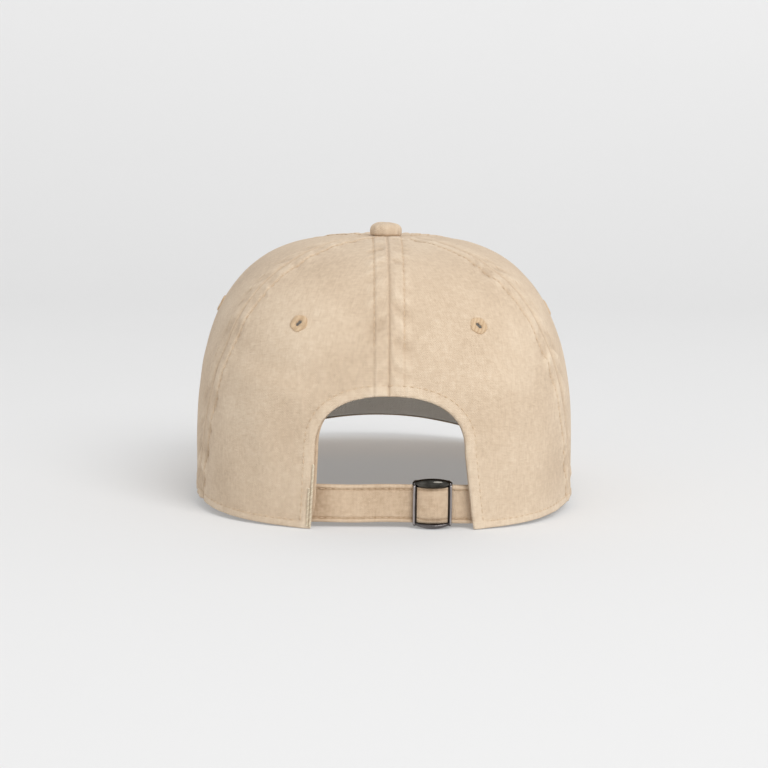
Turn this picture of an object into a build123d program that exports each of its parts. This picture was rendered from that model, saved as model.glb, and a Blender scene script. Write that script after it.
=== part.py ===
from build123d import *
import math
import os

os.makedirs("parts", exist_ok=True)

# A six-panel cap of washed cotton twill with a curved visor and a slide buckle at the back.
# Frame: millimetres, +Z up. The visor points to -Y and the rear opening to +Y.
# The origin is the middle of the head opening, on the surface that the cap stands on.
# "left" is +X, the wearer's left; "right" is -X.

# ---- driving dimensions: crown ----
HALF_WIDTH = 86.5           # of the crown at the hem
BACK_DEPTH = 99.0           # from the origin to the back hem
FRONT_DEPTH = 97.5          # from the origin to the front hem
CROWN_HEIGHT = 118.7        # from the surface to the top of the cloth
PLAN_POWER = 2.72           # how square the crown is, seen from above
DOME_POWER = 3.18           # how square it is, seen from the side
FRONT_LIFT = 17.0           # the hem plane rises by this much from back to front

# ---- driving dimensions: visor ----
VISOR_TOP_Z = 26.4          # top of the visor where it meets the front of the crown
VISOR_DROOP = 0.117         # fall per mm towards the front
VISOR_CURVE_R = 170.0       # sideways bend
VISOR_FROM = 90.0           # degrees round from the back where the hem starts to follow the visor
VISOR_FULL = 113.0          # degrees round where it follows it fully
VISOR_REACH = 69.5          # length in front of the crown
VISOR_HALF_WIDTH = 88.0
VISOR_CORNER = 116.0        # degrees round from the back where the visor starts
VISOR_WIDEST_Y = -78.0
VISOR_SHOULDER = (0.985, 16.0)   # share of the half width, and how far behind the widest place
VISOR_TIP_BACK = 1.0        # the tips start this far behind the corner
VISOR_POWER = 2.25          # how square the front edge is
COVER_TUCK = 0.6            # how far each layer reaches in under the crown
BOARD_TUCK = 0.3
VISOR_LAYER_GAP = 0.15
COVER_T = 0.7
BOARD_T = 2.0
BOARD_INSET = 1.5
VISOR_SEAM_GAP = 0.3        # between the hem of the crown and the visor under it

# ---- driving dimensions: cloth layers, as depth below the crown's outer face ----
PANEL_T = 0.8
TAPE_DEPTH = 0.95
TAPE_T = 0.4
TAPE_WIDTH = 14.0
BUCKRAM_T = 0.6
BUCKRAM_GAP = 0.3           # between its edges and the seam tape and centre seam
BUCKRAM_TOP_R = 20.0        # its top edge, from the axis of the crown
SIDE_TAPE_TOP_R = 16.5
INTERLINING_DEPTH = 1.75
INTERLINING_T = 0.6
SWEATBAND_DEPTH = 2.55
SWEATBAND_T = 0.6
SWEATBAND_LOW = 0.8
SWEATBAND_ENDS = (25.0, -31.0)   # degrees round from the back
FRONT_TAPE_DEPTH = 1.75

# ---- driving dimensions: how far up the crown the linings run, as shares of its height ----
CENTRE_BACK_TAPE_HEIGHTS = (0.36, 0.81)
CENTRE_FRONT_TAPE_HEIGHTS = (0.2, 0.89)
FACING_HEIGHTS = (0.004, 0.355)
INTERLINING_HEIGHTS = (0.006, 0.16)
SWEATBAND_HEIGHTS = (0.004, 0.17)

# ---- driving dimensions: joins between crown pieces ----
SEAM_GAP = 0.05             # half the gap between two panels
HOLE_REACH = 12.0           # length of a cutter that goes right through the cloth

# ---- driving dimensions: seams, in degrees round from the back, at the hem and at the top ----
BACK_SEAM = (62.0, 30.0)
FRONT_SEAM = (120.0, 142.0)
CENTRE_BACK = (0.0, 0.0)
CENTRE_FRONT = (180.0, 180.0)

# ---- driving dimensions: rear opening ----
ARCH_TOP_Z = 56.5
ARCH_SPRING_Z = 33.0
ARCH_HALF_LEFT = 31.0       # from the middle to each side where the arch springs
ARCH_HALF_RIGHT = 32.5
ARCH_POWER = 2.4
ARCH_FOOT_LEFT = 32.5
ARCH_FOOT_RIGHT = 36.5
FACING_WIDTH = 9.0
FACING_EDGE_GAP = 0.4       # from the opening's edge
FACING_ENDS = 33.0          # degrees round from the back

# ---- driving dimensions: top button and eyelets ----
BUTTON_R = 7.4
BUTTON_H = 6.0
BUTTON_CLOTH = 0.8
BUTTON_ROUND = 2.4          # radius of its upper edge
BUTTON_LIFT = 0.1           # above the cloth
BUTTON_UNDER_GAP = 0.3      # from the cloth to the washer
FIT_GAP = 0.05              # between metal pieces that touch
RIVET_CAP_T = 2.0           # shell left above the rivet
RIVET_FOOT_T = 0.6
RIVET_FOOT_R = 3.2
SHANK_R = 2.0
APEX_HOLE_R = 2.4
WASHER_R = 6.0
WASHER_T = 0.8
EYELET_R = 4.0
EYELET_HOLE_R = 1.3
EYELET_T = 1.2
EYELET_ROUND = 0.35
EYELET_CLEAR = 0.1          # between the ring and the panel's hole
EYELET_HEIGHT = 0.44        # share of the way up the panel
EYELET_BACK = 25.4          # degrees round from the back
EYELET_SIDE = 84.0
EYELET_FRONT = 155.0

# ---- driving dimensions: strap and slide buckle ----
STRAP_Y = 92.0              # middle plane of the strap's outer run
STRAP_T = 1.4
STRAP_Z = (2.2, 18.6)
STRAP_LEFT_END = 40.0
RETURN_T = 1.0
LAYER_GAP = 0.35            # between the strap's outer run and what slides behind it
RING_X = -38.6              # where the strap turns back round the ring
RING_WIRE_R = 0.8
RING_DEPTH = 5.0            # from one upright of the ring to the other
RING_LEAN = 21.0            # degrees that the ring turns in, to lie along the panel
RING_OVER_STRAP = 0.4       # how far the ring stands beyond the strap's edges
RING_TO_RETURN = 1.6        # from the ring's middle to where the return run starts
RING_TAB_REACH = 7.0
RING_TAB_T = 0.7
BUCKLE_X = -19.0
BUCKLE_WIDTH = 17.0
BUCKLE_Z = (0.2, 21.6)
BUCKLE_BAR_W = 1.7          # width of a side bar
BUCKLE_BAR_T = 1.7
BUCKLE_CORNER = 1.5         # the side bars stop this far from the top and foot
BUCKLE_LIP_H = 2.2          # height of the front lip of the top bar
BUCKLE_LIP_RISE = 0.6       # how much of the lip is above the window
WINDOW_GAP = 0.45           # above and below the strap
CENTRE_BAR_R = 0.75
BAR_SOCKET = 0.5            # depth of the bar's ends in the frame
BAR_GAP = 0.05
FOLD_LEG = 7.5
FOLD_GAP = 0.1              # between the return run and the folded end



# ---- crown surface ----
def plan_radius(angle):
    """Radius of the crown at the hem, where angle is in degrees round from the back towards the left."""
    a = math.radians(angle)
    depth = BACK_DEPTH if math.cos(a) >= 0 else FRONT_DEPTH
    across = abs(math.sin(a) / HALF_WIDTH) ** PLAN_POWER
    along = abs(math.cos(a) / depth) ** PLAN_POWER
    return (across + along) ** (-1 / PLAN_POWER)


def visor_z(x, y):
    """Height of the visor's top face."""
    return VISOR_TOP_Z - VISOR_DROOP * (-y - FRONT_DEPTH) - x * x / (2 * VISOR_CURVE_R)


def hem_z(angle, depth):
    """Height of the hem: a tilted plane at the back and sides, the visor's line at the front."""
    a = math.radians(angle)
    r = plan_radius(angle) - depth
    plane = FRONT_LIFT * (BACK_DEPTH - r * math.cos(a)) / (BACK_DEPTH + FRONT_DEPTH)
    round_from_back = abs((angle + 180) % 360 - 180)
    s = min(max((round_from_back - VISOR_FROM) / (VISOR_FULL - VISOR_FROM), 0), 1)
    blend = s * s * (3 - 2 * s)
    return plane * (1 - blend) + visor_z(r * math.sin(a), r * math.cos(a)) * blend


def dome(height):
    """Share of the plan radius and of the height, where height runs from 0 at the hem to 1 at the top."""
    t = height * math.pi / 2
    k = (math.cos(t) ** DOME_POWER + math.sin(t) ** DOME_POWER) ** (-1 / DOME_POWER)
    return math.cos(t) * k, math.sin(t) * k


def crown_point(angle, height, depth=0.0):
    a = math.radians(angle)
    out, up = dome(height)
    r = (plan_radius(angle) - depth) * out
    low = hem_z(angle, depth)
    return Vector(r * math.sin(a), r * math.cos(a), low + (CROWN_HEIGHT - depth - low) * up)


def crown_normal(angle, height):
    here = crown_point(angle, height)
    round_step = crown_point(angle + 0.5, height) - here
    up_step = crown_point(angle, height + 0.005) - here
    return up_step.cross(round_step).normalized()


def height_at_radius(radius):
    """Height share where the crown is this far from its axis."""
    share = radius / BACK_DEPTH
    rise = (1 - share ** DOME_POWER) ** (1 / DOME_POWER)
    return math.atan2(rise, share) / (math.pi / 2)


def patch(edge_a, edge_b, heights, depth, thickness, across=9, upward=15):
    """A closed sheet between two edges, each a function of height that gives an angle."""
    rows = []
    for j in range(upward + 1):
        h = heights[0] + (heights[1] - heights[0]) * j / upward
        a = edge_a(h)
        b = edge_b(h)
        rows.append([crown_point(a + (b - a) * i / across, h, depth) for i in range(across + 1)])
    face = Face.make_surface_from_array_of_points(rows, tol=0.005, min_deg=3, max_deg=5)
    middle = (edge_a(heights[0]) + edge_b(heights[0])) / 2
    inward = crown_normal(middle, (heights[0] + heights[1]) / 2) * -1
    return Solid.thicken(face, thickness, normal_override=inward)


def seam(angles, side, shift=0.0):
    """The angle of a seam at each height, moved sideways by shift mm towards the front."""
    def at(height):
        angle = angles[0] + (angles[1] - angles[0]) * height
        r = plan_radius(angle) * dome(height)[0]
        return side * (angle + math.degrees(shift / r))
    return at


# ---- rear opening ----
def arch_outline(grow=0.0):
    """The opening's outline as X and Z, grown outwards by a margin, from left foot to right foot."""
    rise = ARCH_TOP_Z - ARCH_SPRING_Z + grow
    points = []
    steps = 16
    for i in range(steps + 1):
        t = math.pi * i / steps
        c = math.cos(t)
        half = (ARCH_HALF_LEFT if c > 0 else ARCH_HALF_RIGHT) + grow
        x = math.copysign(half * abs(c) ** (2 / ARCH_POWER), c)
        points.append((x, ARCH_SPRING_Z + rise * math.sin(t) ** (2 / ARCH_POWER)))
    return points


def arch_cutter(grow=0.0):
    points = arch_outline(grow)
    below = -5
    left = (ARCH_FOOT_LEFT + grow, below)
    right = (-ARCH_FOOT_RIGHT - grow, below)
    profile = Polyline(left, *points, right, close=True)
    face = make_face(Plane.XZ.offset(-60) * profile)
    return extrude(face, 60, dir=(0, 1, 0))


# ---- crown pieces ----
def eyelet_place(angle):
    here = crown_point(angle, EYELET_HEIGHT)
    return Plane(here, z_dir=crown_normal(angle, EYELET_HEIGHT))


def panel(edge_a, edge_b, eyelet_angle):
    top = height_at_radius(APEX_HOLE_R)
    sheet = patch(edge_a, edge_b, (0.0, top), 0.0, PANEL_T)
    hole = eyelet_place(eyelet_angle) * Cylinder(EYELET_R + EYELET_CLEAR, HOLE_REACH)
    return sheet - hole


def crown_panels():
    opening = arch_cutter()
    shapes = {}
    for name, side in (("left", 1), ("right", -1)):
        back = panel(seam(CENTRE_BACK, side, SEAM_GAP), seam(BACK_SEAM, side, -SEAM_GAP), side * EYELET_BACK)
        shapes["back_panel_" + name] = back - opening
        shapes["side_panel_" + name] = panel(
            seam(BACK_SEAM, side, SEAM_GAP), seam(FRONT_SEAM, side, -SEAM_GAP), side * EYELET_SIDE)
        shapes["front_panel_" + name] = panel(
            seam(FRONT_SEAM, side, SEAM_GAP), seam(CENTRE_FRONT, side, -SEAM_GAP), side * EYELET_FRONT)
    return shapes


def eyelets():
    shapes = {}
    for name, angle in (("back", EYELET_BACK), ("side", EYELET_SIDE), ("front", EYELET_FRONT)):
        for side_name, side in (("left", 1), ("right", -1)):
            place = eyelet_place(side * angle)
            ring = Cylinder(EYELET_R, EYELET_T) - Cylinder(EYELET_HOLE_R, EYELET_T * 2)
            rim = ring.edges().filter_by(GeomType.CIRCLE)
            ring = fillet(rim, EYELET_ROUND)
            shapes[f"eyelet_{name}_{side_name}"] = place * Pos(0, 0, -PANEL_T / 2) * ring
    return shapes


def buckram():
    top = height_at_radius(BUCKRAM_TOP_R)
    shapes = {}
    for name, side in (("left", 1), ("right", -1)):
        beside_tape = seam(FRONT_SEAM, side, TAPE_WIDTH / 2 + BUCKRAM_GAP)
        beside_centre = seam(CENTRE_FRONT, side, -BUCKRAM_GAP)
        sheet = patch(beside_tape, beside_centre, (0.0, top), TAPE_DEPTH, BUCKRAM_T)
        hole = eyelet_place(side * EYELET_FRONT) * Cylinder(EYELET_R + 2 * BUCKRAM_GAP, HOLE_REACH)
        shapes["front_buckram_" + name] = sheet - hole
    return shapes


def seam_tapes():
    """Tapes sewn over the seams on the inside, from the hem to just short of the top."""
    half = TAPE_WIDTH / 2
    top = height_at_radius(SIDE_TAPE_TOP_R)
    shapes = {}
    for name, side in (("left", 1), ("right", -1)):
        shapes["side_back_seam_tape_" + name] = patch(
            seam(BACK_SEAM, side, -half), seam(BACK_SEAM, side, half), (0.0, top), TAPE_DEPTH, TAPE_T, 4)
        shapes["front_side_seam_tape_" + name] = patch(
            seam(FRONT_SEAM, side, -half), seam(FRONT_SEAM, side, half), (0.0, top), TAPE_DEPTH, TAPE_T, 4)
    shapes["centre_back_seam_tape"] = patch(
        seam(CENTRE_BACK, 1, -half), seam(CENTRE_BACK, 1, half), CENTRE_BACK_TAPE_HEIGHTS,
        TAPE_DEPTH, TAPE_T, 4)
    shapes["centre_front_seam_tape"] = patch(
        seam(CENTRE_FRONT, 1, -half), seam(CENTRE_FRONT, 1, half), CENTRE_FRONT_TAPE_HEIGHTS,
        FRONT_TAPE_DEPTH, TAPE_T, 4)
    return shapes


def arch_facing():
    """A bias strip sewn round the opening on the inside."""
    sheet = patch(lambda h: -FACING_ENDS, lambda h: FACING_ENDS, FACING_HEIGHTS, TAPE_DEPTH, TAPE_T, 14)
    return (sheet & arch_cutter(FACING_WIDTH)) - arch_cutter(FACING_EDGE_GAP)


def sweatband():
    start = SWEATBAND_ENDS[0]
    end = 360 + SWEATBAND_ENDS[1]
    lining = patch(lambda h: start, lambda h: end, INTERLINING_HEIGHTS,
                   INTERLINING_DEPTH, INTERLINING_T, 60, 4)
    band = patch(lambda h: start, lambda h: end, SWEATBAND_HEIGHTS, SWEATBAND_DEPTH, SWEATBAND_T, 60, 4)
    below = Pos(0, 0, SWEATBAND_LOW) * Box(300, 300, 20, align=(Align.CENTER, Align.CENTER, Align.MAX))
    return {"sweatband_interlining": lining - below, "sweatband": band - below}


# ---- top button ----
def disc(z, radius, height, upper_edge=0.0):
    """A cylinder that stands at height z, with its upper edge rounded if asked."""
    shape = Pos(0, 0, z) * Cylinder(radius, height, align=(Align.CENTER, Align.CENTER, Align.MIN))
    if upper_edge:
        shape = fillet(shape.edges().sort_by(Axis.Z)[-1], upper_edge)
    return shape


def top_button():
    base_z = CROWN_HEIGHT + BUTTON_LIFT
    core_r = BUTTON_R - BUTTON_CLOTH
    core_h = BUTTON_H - BUTTON_CLOTH
    core_round = BUTTON_ROUND - BUTTON_CLOTH
    cover = disc(base_z, BUTTON_R, BUTTON_H, BUTTON_ROUND) - disc(base_z, core_r, core_h, core_round)
    shank_top = base_z + BUTTON_H - RIVET_CAP_T
    shell = disc(base_z, core_r - FIT_GAP, core_h - FIT_GAP, core_round)
    shell -= disc(base_z - 1, SHANK_R + FIT_GAP / 2, shank_top - base_z + 1)
    washer_z = CROWN_HEIGHT - PANEL_T - BUTTON_UNDER_GAP - WASHER_T
    shank = disc(washer_z, SHANK_R, shank_top - washer_z - FIT_GAP)
    foot = disc(washer_z - RIVET_FOOT_T - FIT_GAP, RIVET_FOOT_R, RIVET_FOOT_T + FIT_GAP)
    washer = disc(washer_z + FIT_GAP, WASHER_R, WASHER_T)
    washer -= disc(washer_z - 1, SHANK_R + FIT_GAP, WASHER_T + 2)
    return {
        "button_cover": cover,
        "button_shell": shell,
        "button_rivet": shank + foot,
        "button_washer": washer,
    }


# ---- visor ----
def visor_surface(depth):
    """The visor's curved face, depth mm below its top face, larger than the visor itself."""
    rows = []
    steps = 14
    half = VISOR_HALF_WIDTH + 12
    back_y = -25.0
    front_y = -FRONT_DEPTH - VISOR_REACH - 12
    for j in range(steps + 1):
        y = back_y + (front_y - back_y) * j / steps
        xs = [half * (2 * i / steps - 1) for i in range(steps + 1)]
        rows.append([Vector(x, y, visor_z(x, y) - depth) for x in xs])
    return Face.make_surface_from_array_of_points(rows, tol=0.005, min_deg=2, max_deg=4)


def visor_outer_edge(inset, tuck):
    """The left half of the visor's edge from above, from the tip to short of the middle of the front."""
    corner = crown_point(VISOR_CORNER, 0.0)
    half = VISOR_HALF_WIDTH - inset
    depth = FRONT_DEPTH + VISOR_REACH - inset + VISOR_WIDEST_Y
    share, back = VISOR_SHOULDER
    points = [(corner.X - tuck, corner.Y + VISOR_TIP_BACK - inset),
              (half * share, VISOR_WIDEST_Y + back),
              (half, VISOR_WIDEST_Y)]
    steps = 12
    for i in range(1, steps):
        t = math.pi / 2 * i / steps
        x = half * math.cos(t) ** (2 / VISOR_POWER)
        points.append((x, VISOR_WIDEST_Y - depth * math.sin(t) ** (2 / VISOR_POWER)))
    return points


def visor_plan(inset, tuck):
    """The visor from above: a wide rounded front and a crescent cut for the crown."""
    left = visor_outer_edge(inset, tuck)
    front = (0, -FRONT_DEPTH - VISOR_REACH + inset)
    right = [(-x, y) for x, y in reversed(left)]
    crescent = []
    spans = 24
    for i in range(1, spans):
        angle = VISOR_CORNER + (360 - 2 * VISOR_CORNER) * i / spans
        a = math.radians(angle)
        r = plan_radius(angle) - tuck
        crescent.append((r * math.sin(a), r * math.cos(a)))
    outer = Spline(*left, front, *right)
    inner = Spline(right[-1], *reversed(crescent), left[0])
    return make_face(outer + inner)


def visor_layer(depth, thickness, inset, tuck):
    """One sheet of the visor: the plan shape, cut out of a curved sheet of even upright thickness."""
    sheet = extrude(visor_surface(depth), thickness, dir=(0, 0, -1))
    column = extrude(visor_plan(inset, tuck), 80, dir=(0, 0, 1))
    return sheet & (Pos(0, 0, -20) * column)


def visor():
    board_depth = VISOR_SEAM_GAP + COVER_T + VISOR_LAYER_GAP
    under_depth = board_depth + BOARD_T + VISOR_LAYER_GAP
    return {
        "visor_top_cover": visor_layer(VISOR_SEAM_GAP, COVER_T, 0.0, COVER_TUCK),
        "visor_board": visor_layer(board_depth, BOARD_T, BOARD_INSET, BOARD_TUCK),
        "visor_under_cover": visor_layer(under_depth, COVER_T, 0.0, COVER_TUCK),
    }


# ---- strap, ring and slide buckle ----
def strap_block(x0, x1, y_middle, thickness):
    z0, z1 = STRAP_Z
    block = Box(abs(x1 - x0), thickness, z1 - z0)
    return Pos((x0 + x1) / 2, y_middle, (z0 + z1) / 2) * block


def return_y():
    """Middle plane of the run that goes back behind the strap."""
    return STRAP_Y - STRAP_T / 2 - LAYER_GAP - RETURN_T / 2


def centre_bar_y():
    return return_y() - RETURN_T / 2 - BAR_GAP - CENTRE_BAR_R


def turn(x_middle, y_middle, inner_r, thickness, side):
    """Half a turn of strap round an upright bar, on the side given by the sign."""
    z0, z1 = STRAP_Z
    ring = Cylinder(inner_r + thickness, z1 - z0) - Cylinder(inner_r, z1 - z0)
    half = Pos(side * 10, 0, 0) * Box(20, 20, z1 - z0)
    return Pos(x_middle, y_middle, (z0 + z1) / 2) * (ring & half)


def strap_pieces():
    bar_y = centre_bar_y()
    inner_r = CENTRE_BAR_R + BAR_GAP
    fold = turn(BUCKLE_X, bar_y, inner_r, RETURN_T, 1)
    near_leg = strap_block(BUCKLE_X - FOLD_LEG, BUCKLE_X, return_y(), RETURN_T)
    far_leg = strap_block(BUCKLE_X - FOLD_LEG, BUCKLE_X, bar_y - inner_r - RETURN_T / 2, RETURN_T)
    return_end = BUCKLE_X - FOLD_LEG - FOLD_GAP
    return {
        "strap": strap_block(RING_X + RING_WIRE_R, STRAP_LEFT_END, STRAP_Y, STRAP_T),
        "strap_return": strap_block(RING_X + RING_TO_RETURN, return_end, return_y(), RETURN_T),
        "strap_end_fold": fold + near_leg + far_leg,
    }


def ring_pieces():
    """A wire ring behind the right back panel, and the cloth tab that holds it."""
    z0, z1 = STRAP_Z
    tall = z1 - z0 + 2 * RING_OVER_STRAP
    middle = Pos(RING_X, (STRAP_Y + return_y()) / 2, (z0 + z1) / 2) * Rot(0, 0, RING_LEAN)
    upright = Cylinder(RING_WIRE_R, tall + 2 * RING_WIRE_R)
    level = Pos(-RING_DEPTH / 2, 0, 0) * Rot(0, 90, 0) * Cylinder(RING_WIRE_R, RING_DEPTH)
    ring = upright + Pos(-RING_DEPTH, 0, 0) * upright
    for side in (-1, 1):
        ring += Pos(0, 0, side * tall / 2) * level
    tab_h = z1 - z0 - 1
    inner_r = RING_WIRE_R + BAR_GAP
    loop = Cylinder(inner_r + RING_TAB_T, tab_h) - Cylinder(inner_r, tab_h + 1)
    loop &= Pos(10, 0, 0) * Box(20, 20, 2 * tab_h)
    holder = Pos(-RING_DEPTH, 0, 0) * loop
    leg = Box(RING_TAB_REACH, RING_TAB_T, tab_h)
    for side in (-1, 1):
        leg_y = side * (inner_r + RING_TAB_T / 2)
        holder += Pos(-RING_DEPTH - RING_TAB_REACH / 2, leg_y, 0) * leg
    return {"strap_ring": middle * ring, "ring_tab": middle * holder}


def buckle_bar_across(width, z_middle, height, y_back, y_front):
    return Pos(0, (y_back + y_front) / 2, z_middle) * Box(width, y_front - y_back, height)


def buckle_pieces():
    """Side bars in front of the strap, joined above and below it to the bar that the end is folded round."""
    foot_z, top_z = BUCKLE_Z
    window_low = STRAP_Z[0] - WINDOW_GAP
    window_high = STRAP_Z[1] + WINDOW_GAP
    front_low = STRAP_Y + STRAP_T / 2 + LAYER_GAP
    front_high = front_low + BUCKLE_BAR_T
    bar_y = centre_bar_y()
    back = bar_y - CENTRE_BAR_R
    narrow = BUCKLE_WIDTH - BUCKLE_CORNER
    side_x = (BUCKLE_WIDTH - BUCKLE_BAR_W) / 2
    side = Box(BUCKLE_BAR_W, BUCKLE_BAR_T, top_z - foot_z - 2 * BUCKLE_CORNER)
    side_y = (front_low + front_high) / 2
    top_h = top_z - window_high
    foot_h = window_low - foot_z
    lip_z = window_high + BUCKLE_LIP_RISE - BUCKLE_LIP_H / 2
    frame = buckle_bar_across(narrow, window_high + top_h / 2, top_h, back, front_high)
    frame += buckle_bar_across(narrow, foot_z + foot_h / 2, foot_h, back, front_high)
    frame += buckle_bar_across(narrow, lip_z, BUCKLE_LIP_H, front_low, front_high)
    for x in (-side_x, side_x):
        frame += Pos(x, side_y, (foot_z + top_z) / 2) * side
    bar_h = window_high - window_low + 2 * BAR_SOCKET
    bar = Pos(0, bar_y, (window_low + window_high) / 2) * Cylinder(CENTRE_BAR_R, bar_h)
    return {"buckle_frame": Pos(BUCKLE_X, 0, 0) * (frame - bar), "buckle_bar": Pos(BUCKLE_X, 0, 0) * bar}


def main():
    shapes = {}
    for group in (crown_panels, eyelets, buckram, seam_tapes, sweatband, top_button, visor,
                  strap_pieces, ring_pieces, buckle_pieces):
        shapes.update(group())
    shapes["arch_facing"] = arch_facing()
    for name, shape in shapes.items():
        export_step(shape, f"parts/{name}.step")


main()
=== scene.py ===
import math
import bpy
import numpy as np
from mathutils import Matrix, Vector


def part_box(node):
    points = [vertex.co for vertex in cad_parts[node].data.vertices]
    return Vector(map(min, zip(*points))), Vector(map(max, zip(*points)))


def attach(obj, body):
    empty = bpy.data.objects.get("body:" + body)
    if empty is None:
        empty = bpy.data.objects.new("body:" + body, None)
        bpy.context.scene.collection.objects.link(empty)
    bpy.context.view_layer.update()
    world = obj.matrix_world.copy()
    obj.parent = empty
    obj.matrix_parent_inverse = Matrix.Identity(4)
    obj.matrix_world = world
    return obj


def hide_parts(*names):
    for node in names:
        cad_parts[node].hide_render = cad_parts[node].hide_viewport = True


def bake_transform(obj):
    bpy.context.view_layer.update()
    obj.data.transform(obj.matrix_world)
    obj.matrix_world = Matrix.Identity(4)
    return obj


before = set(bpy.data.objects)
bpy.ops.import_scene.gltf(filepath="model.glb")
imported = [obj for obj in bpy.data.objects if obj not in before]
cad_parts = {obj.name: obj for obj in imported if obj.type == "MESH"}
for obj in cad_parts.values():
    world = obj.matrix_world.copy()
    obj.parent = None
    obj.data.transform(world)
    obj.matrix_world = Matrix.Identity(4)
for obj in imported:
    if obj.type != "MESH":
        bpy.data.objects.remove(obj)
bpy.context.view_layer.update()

# Lengths are in millimetres up to MM, which turns them into metres as a mesh is made.
# +Z is up, the visor points to -Y, the rear opening to +Y, and the wearer's left is +X.
MM = 0.001

# ---- crown, the same surface as the CAD ----
HALF_WIDTH = 86.5
BACK_DEPTH = 99.0
FRONT_DEPTH = 97.5
CROWN_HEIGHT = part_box("back_panel_left")[1].z / MM
PLAN_POWER = 2.72
DOME_POWER = 3.18
FRONT_LIFT = 17.0
# Each seam's angle from the middle of the back, at the hem and at the button.
CENTRE_BACK = (0.0, 0.0)
BACK_SEAM = (62.0, 30.0)
FRONT_SEAM = (120.0, 142.0)
CENTRE_FRONT = (180.0, 180.0)
PANEL_T = 0.8

# ---- visor ----
VISOR_TOP_Z = 26.4
VISOR_DROOP = 0.117
VISOR_CURVE_R = 170.0
VISOR_FROM = 90.0
VISOR_FULL = 113.0
VISOR_REACH = 69.5
VISOR_HALF_WIDTH = 88.0
VISOR_CORNER = 116.0
VISOR_WIDEST_Y = -78.0
VISOR_GAP = 0.3
RIM_R = 1.85
VISOR_DEPTH = 3.7       # from the top cover down to the under cover
VISOR_COVER_T = 0.6
VISOR_EDGE_POWER = 2.25
VISOR_MIDDLE = np.array([0, -70.0])     # the outer edge runs round this point
VISOR_ROWS = (3.6, 9.2, 14.8, 20.4, 26.0, 31.6, 37.2)

# ---- rear opening ----
ARCH_TOP_Z = 56.5
ARCH_SPRING_Z = 33.0
ARCH_HALF_LEFT = 31.0
ARCH_HALF_RIGHT = 32.5
ARCH_POWER = 2.4
ARCH_FOOT_LEFT = 32.5
ARCH_FOOT_RIGHT = 36.5
ARCH_STITCH = 4.5
FACING_WIDTH = 9.0
FACING_PEEK = 1.3       # how far the facing shows inside the left edge of the opening
OVERLOCK_FOOT = 0.9
OVERLOCK_TOP = 27.0
OVERLOCK_PITCH = 0.74
OVERLOCK_WIDTH = 2.5

# ---- seams and sewing ----
SEAM_ROW = 6.4
HEM_ROW = 3.0
HEM_FROM = 22.5         # the hem's stitches run between these angles
HEM_TO = 335.0
STITCH = 2.3
STITCH_PITCH = 3.0
THREAD_R = 0.17
THREAD_SIDES = 6
RING_AT = np.array([0.0, 0.12, 0.5, 0.88, 1.0])     # the rings of one stitch, as shares of its length
RING_THICK = np.array([0.3, 0.85, 1.0, 0.85, 0.3])
RING_LIFT = np.array([-0.9, 0.4, 0.8, 0.4, -0.9])
EYELET_HOLE = 2.6       # radius of the holes behind the eyelets
LINING_HOLE = 4.4
EYELET_HEIGHT = 0.44
EYELETS = {"back": 25.4, "side": 84.0, "front": 155.0}
TOP_OF_CLOTH = 0.9826   # the share of the way up where the panels end, under the button
CLOTH_RISE = 170.0      # of cloth from the hem to the button
BUTTON_FULLNESS = 0.9
TWILL_SCALE = 0.808     # of the wave texture, for a diagonal rib every 0.55 mm

# ---- inside, with depths inwards from the crown surface ----
FIRST_DEPTH = 0.95      # tapes, facing and buckram
SECOND_DEPTH = 1.75     # what lies over them
BAND_DEPTH = 2.55
LINING_DROP = 0.35      # the linings hang this much looser than their solids
TAPE_HALF = 7.0
TAPE_T = 0.4
STIFFENER_T = 0.5       # buckram and interlining
BAND_T = 0.6
BAND_FROM = 25.0
BAND_TO = 329.0
LOWEST = 0.9

# ---- strap ----
STRAP_Y = 92.0
STRAP_T = 1.4
RETURN_T = 1.0
RETURN_Y = 90.45
STRAP_ROW = 2.0         # from the strap's edge to its stitches
TAB_LEAN = math.radians(21)
TAB_REACH = 7.2
TAB_LOOP_R = 1.2
RING_WIRE_R = 0.8

# ---- buckle, with x from its middle ----
SIDE_BAR_X = 7.3
SIDE_BAR_Y = 93.1
SIDE_BAR_Z = (1.9, 18.6)
LINK_X = 7.4
LINK_Y = (87.9, 93.6)
LINK_Z = {"top": 18.9, "bottom": 1.9}
BACK_BAR_Y = 88.9
BACK_BAR_Z = {"top": 19.2, "bottom": 1.4}
WINDOW_HALF = 6.75      # of the cloth between the side bars
WINDOW_Y = 93.3
WINDOW_SWELL = 1.25
WINDOW_T = 0.4

# ---- stage and camera ----
FLOOR_GLOW = 0.24
WALL_GLOW = 0.41
GLOW_RISE = 0.9
WORLD_LIGHT = 0.6
STAGE_HALF = 9000.0
WALL_START = -1100.0
WALL_CURVE_R = 700.0
WALL_TOP = 3500.0
CAMERA_AROUND = math.radians(1.3)
CAMERA_AWAY = 0.8775
CAMERA_UP = 0.1575
CAMERA_DOWN = math.radians(6.98)
CAMERA_ROLL = math.radians(0.74)
CAMERA_LENS = 88.26

# ---- steps of the calculations ----
NOISE_CELLS = 32
ANGLE_STEP = 0.05       # for slopes over the crown
HEIGHT_STEP = 0.0005
SNAP_UP = 1e-4          # how much points may climb, next to moving round, as they snap to the arch


# ---- small maths ----
def smooth(x, low, high):
    t = np.clip((x - low) / (high - low), 0, 1)
    return t * t * (3 - 2 * t)


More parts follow.
